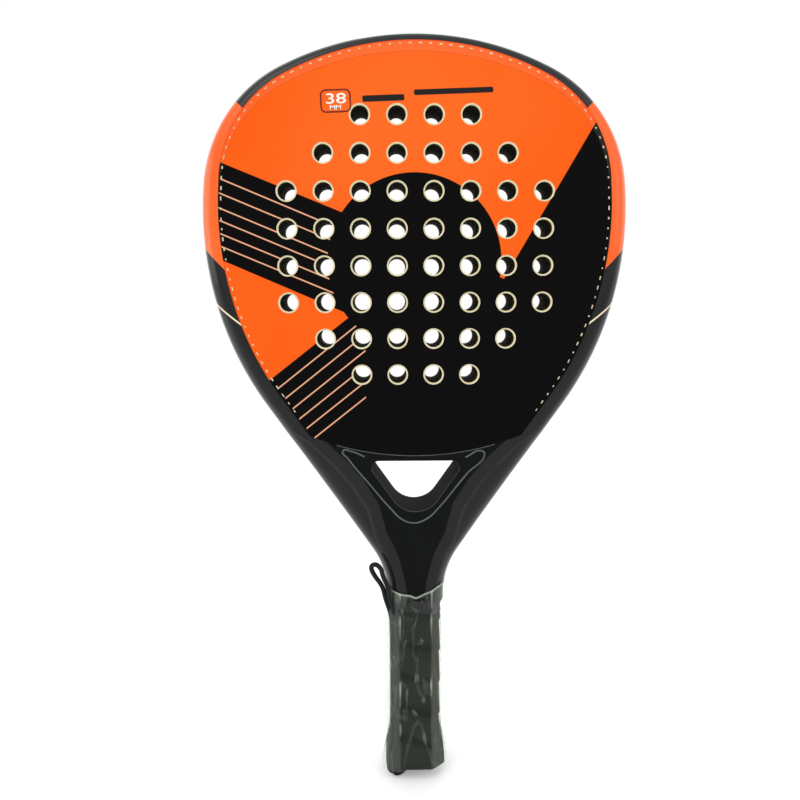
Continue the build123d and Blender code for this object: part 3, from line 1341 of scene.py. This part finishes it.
@dataclass(frozen=True)
class WristCord:
    """The thin cord that runs from the butt up beside the handle in a folded loop and back."""

    diameter: float = 3.0
    butt_z: float = -58.0
    length: float = 0.3403
    route: tuple[Triple, ...] = (
        (-5.0, -7.0, 9.0), (-5.2, -7.2, -2.5), (-9.8, -11.8, -4.9), (-14.6, -16.3, -2.4),
        (-14.9, -16.6, 8.5), (-12.7, -14.4, 21.0), (-12.3, -13.9, 36.0), (-12.5, -13.7, 62.0),
        (-12.2, -14.1, 86.0), (-12.4, -14.0, 103.0), (-16.4, -18.1, 116.0), (-17.2, -19.2, 124.5),
        (-20.6, -19.2, 131.5), (-21.4, -19.2, 136.4), (-25.0, -18.4, 139.4), (-28.4, -17.0, 137.0),
        (-26.0, -16.6, 131.2), (-20.6, -16.4, 124.0), (-18.9, -15.4, 115.0), (-14.9, -11.4, 102.0),
        (-14.8, -11.5, 85.0), (-14.7, -11.5, 61.0), (-14.9, -11.4, 35.0), (-15.2, -11.9, 21.0),
        (-17.5, -14.0, 8.5), (-17.2, -13.8, -2.4), (-12.2, -8.7, -5.0), (-7.5, -3.1, -2.5),
        (-7.3, -2.9, 9.0),
    )

    def build(self, finish: bpy.types.Material, knot: bpy.types.Object) -> bpy.types.Object:
        """Return the cord.

        Args:
            finish: The cord's material.
            knot: The CAD knot inside the butt; not used.

        Returns:
            The cord's curve object.
        """
        curve = bpy.data.curves.new("wrist_cord", "CURVE")
        curve.dimensions = "3D"
        curve.bevel_depth, curve.bevel_resolution = self.diameter / 2 * MM, 4
        curve.use_fill_caps, curve.resolution_u = True, 12
        spline = curve.splines.new("NURBS")
        spline.points.add(len(self.route) - 1)
        for point, (x, y, height) in zip(spline.points, self.route):
            point.co = (x * MM, y * MM, (height + self.butt_z) * MM, 1.0)
        spline.order_u = 3
        spline.use_endpoint_u = True
        curve.materials.append(finish)
        cord = link("wrist_cord", curve)
        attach(cord, BODY)
        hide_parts("wrist_strap")
        x, y, height = self.route[0]
        LOG.info("wrist_cord: %d points", len(self.route))
        return cord


# ============================================================================ studio
@dataclass(frozen=True)
class Lamp:
    """A square soft lamp; place and size in metres, power in watts."""

    name: str
    place: Triple
    size: float
    power: float


@dataclass(frozen=True)
class Studio:
    """Camera, floor, lamps and white background."""

    camera_place: Triple = (-16.3, -496.8, 248.9)
    camera_turn: Triple = (82.251, 0.198, -0.844)
    lens: float = 36.0
    sensor: float = 36.0
    floor_z: float = -64.6
    floor_half: float = 3.0
    floor_lift: float = 0.22
    world_light: float = 0.8
    aim: Triple = (0.0, 0.0, 0.18)
    lamps: tuple[Lamp, ...] = (
        Lamp("key", (-0.7, -1.1, 1.3), 0.9, 5.0),
        Lamp("fill", (1.1, -0.9, 0.7), 0.9, 2.6),
        Lamp("left", (-1.3, -0.2, 0.4), 0.7, 2.4),
        Lamp("back", (0.3, 1.2, 1.1), 0.9, 3.0),
    )

    def add_camera(self) -> None:
        """Add the camera."""
        data = bpy.data.cameras.new("camera")
        data.lens, data.sensor_width = self.lens, self.sensor
        data.clip_start = 0.01
        camera = link("camera", data)
        camera.location = tuple(c * MM for c in self.camera_place)
        camera.rotation_euler = tuple(math.radians(a) for a in self.camera_turn)
        bpy.context.scene.camera = camera

    def add_floor(self) -> None:
        """Add the pale floor, lifted to white for the camera but keeping its shadow."""
        half, z = self.floor_half, self.floor_z * MM
        corners = [(-half, -half, z), (half, -half, z), (half, half, z), (-half, half, z)]
        mesh = bpy.data.meshes.new("floor")
        mesh.from_pydata(corners, [], [(0, 1, 2, 3)])
        shader = Shader("floor")
        seen = shader.node("ShaderNodeLightPath", {}, {}, "Is Camera Ray")
        mesh.materials.append(shader.finish(
            shader.mix(shader.noise(20.0), srgb(250, 250, 250), srgb(254, 254, 254)),
            Roughness=0.8, Specular_IOR_Level=0.0, Emission_Strength=1.0,
            Emission_Color=shader.mix(seen, (0.0, 0.0, 0.0), (self.floor_lift,) * 3),
        ))
        link("floor", mesh)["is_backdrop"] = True

    def add_lamp(self, lamp: Lamp) -> None:
        """Add one soft lamp that looks at the racket."""
        light = bpy.data.lights.new(lamp.name, "AREA")
        light.shape, light.size, light.energy = "SQUARE", lamp.size, lamp.power
        holder = link(lamp.name, light)
        holder.location = lamp.place
        aim = Vector(self.aim) - Vector(lamp.place)
        holder.rotation_euler = aim.to_track_quat("-Z", "Y").to_euler()

    def add_world(self) -> None:
        """Add even light with a background that is seen as white."""
        world = bpy.data.worlds.new("world")
        bpy.context.scene.world = world
        world.use_nodes = True
        tree = world.node_tree
        tree.nodes.clear()
        rays = tree.nodes.new("ShaderNodeLightPath")
        blend = tree.nodes.new("ShaderNodeMixShader")
        for slot, strength in ((1, self.world_light), (2, 1.0)):
            light = tree.nodes.new("ShaderNodeBackground")
            light.inputs["Color"].default_value = WHITE
            light.inputs["Strength"].default_value = strength
            tree.links.new(light.outputs[0], blend.inputs[slot])
        shown = rays.outputs["Is Camera Ray"]
        for ray in ("Is Glossy Ray", "Is Transmission Ray"):
            either = tree.nodes.new("ShaderNodeMath")
            either.operation = "MAXIMUM"
            tree.links.new(shown, either.inputs[0])
            tree.links.new(rays.outputs[ray], either.inputs[1])
            shown = either.outputs[0]
        tree.links.new(shown, blend.inputs[0])
        output = tree.nodes.new("ShaderNodeOutputWorld")
        tree.links.new(blend.outputs[0], output.inputs["Surface"])

    def build(self) -> None:
        """Set up everything that isn't the racket."""
        bpy.context.scene.view_settings.view_transform = "Standard"
        self.add_camera()
        self.add_floor()
        for lamp in self.lamps:
            self.add_lamp(lamp)
        self.add_world()


# ============================================================================ racket
class Finish(Enum):
    """Finishes made of one speckled pair of colours."""

    FOAM = SpeckledFinish(
        "eva_foam", srgb(44, 42, 28), srgb(70, 66, 44), 500.0, 0.85, 0.5, specular=0.05,
    )
    COMPOSITE = SpeckledFinish(
        "raw_composite", srgb(14, 15, 15), srgb(26, 27, 27), 350.0, 0.75, 0.1, specular=0.05,
    )
    THROAT = SpeckledFinish(
        "throat_lacquer", srgb(7, 9, 9), srgb(13, 15, 15), 60.0, 0.3, 0.06,
        coat=0.04, specular=0.06,
    )
    # The ridges' grey is a painted highlight along the moulded edges of the throat.
    RIDGE_HIGHLIGHT = SpeckledFinish(
        "throat_ridge_highlight", srgb(58, 64, 62), srgb(96, 104, 100), 90.0, 0.25, 0.05, coat=0.4,
    )
    CORE = SpeckledFinish("handle_foam", srgb(96, 94, 88), srgb(126, 122, 114), 600.0, 0.9, 0.5)
    SHELL = SpeckledFinish("handle_shell", srgb(30, 31, 31), srgb(42, 43, 43), 250.0, 0.5, 0.2)
    CAP = SpeckledFinish("cap_plastic", srgb(18, 19, 19), srgb(30, 31, 31), 400.0, 0.4, 0.2)
    TAPE = SpeckledFinish("grip_tape", srgb(18, 23, 22), srgb(36, 43, 41), 700.0, 0.6, 0.5)
    BAND = SpeckledFinish(
        "finishing_tape", srgb(12, 14, 14), srgb(24, 26, 26), 300.0, 0.35, 0.15, coat=0.3,
    )
    CORD = SpeckledFinish("cord", srgb(10, 11, 11), srgb(38, 40, 40), 1400.0, 0.7, 0.9, 0.0006)
    # The dashes' cream is a painted highlight.
    DASH = SpeckledFinish("highlight_dash", srgb(196, 182, 140), srgb(236, 226, 192), 400.0, 0.5, 0.1)
    WHITE = SpeckledFinish("mark_white", srgb(246, 238, 226), srgb(254, 250, 244), 200.0, 0.4, 0.0)
    RED = SpeckledFinish("mark_red", srgb(96, 26, 16), srgb(124, 34, 20), 200.0, 0.4, 0.0)
    BLACK = SpeckledFinish("mark_black", srgb(12, 10, 10), srgb(20, 18, 18), 200.0, 0.4, 0.0)


NODE_FINISHES: dict[str, Finish] = {
    "face_core": Finish.FOAM, "throat_bridge": Finish.COMPOSITE, "throat_core": Finish.COMPOSITE,
    "handle_core": Finish.CORE, "handle_pallet_front": Finish.SHELL,
    "handle_pallet_back": Finish.SHELL, "butt_cap": Finish.CAP, "strap_knot": Finish.CORD,
    "frame_tube": Finish.COMPOSITE, "throat_plate_front": Finish.THROAT,
    "throat_plate_back": Finish.THROAT, "base_grip": Finish.TAPE,
    "finishing_tape": Finish.BAND, "wrist_strap": Finish.CORD,
}


def dress(node: bpy.types.Object, material: bpy.types.Material) -> None:
    """Give a CAD node a material."""
    node.data.materials.clear()
    node.data.materials.append(material)


def main() -> None:
    """Build the racket's looks."""
    logging.basicConfig(level=logging.INFO, format="%(message)s")
    made = {finish: finish.value.material() for finish in Finish}
    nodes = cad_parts
    face, film = FaceFinish().material(), FilmFinish().material()
    for name, finish in NODE_FINISHES.items():
        dress(nodes[name], made[finish])
    for name in ("front_face", "back_face"):
        dress(nodes[name], face)
    dress(nodes["film_sleeve"], film)
    FrameShell().build(FrameFinish().material())
    HighlightDashes().build(made[Finish.DASH])
    Markings().build(made[Finish.WHITE], made[Finish.RED], made[Finish.BLACK])
    Throat().build(made[Finish.THROAT], made[Finish.RIDGE_HIGHLIGHT])
    grip = TapedGrip()
    grip.build_tape(TapeFinish().material())
    grip.build_band(made[Finish.BAND])
    FilmWrap().build(film)
    WristCord().build(made[Finish.CORD], nodes["strap_knot"])
    Studio().build()
    boxes = {"cad": [list(c) for c in CAD_BOX], "visual": [list(c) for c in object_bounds()]}
    LOG.info("box %s", boxes["visual"])


if __name__ == "__main__":
    main()
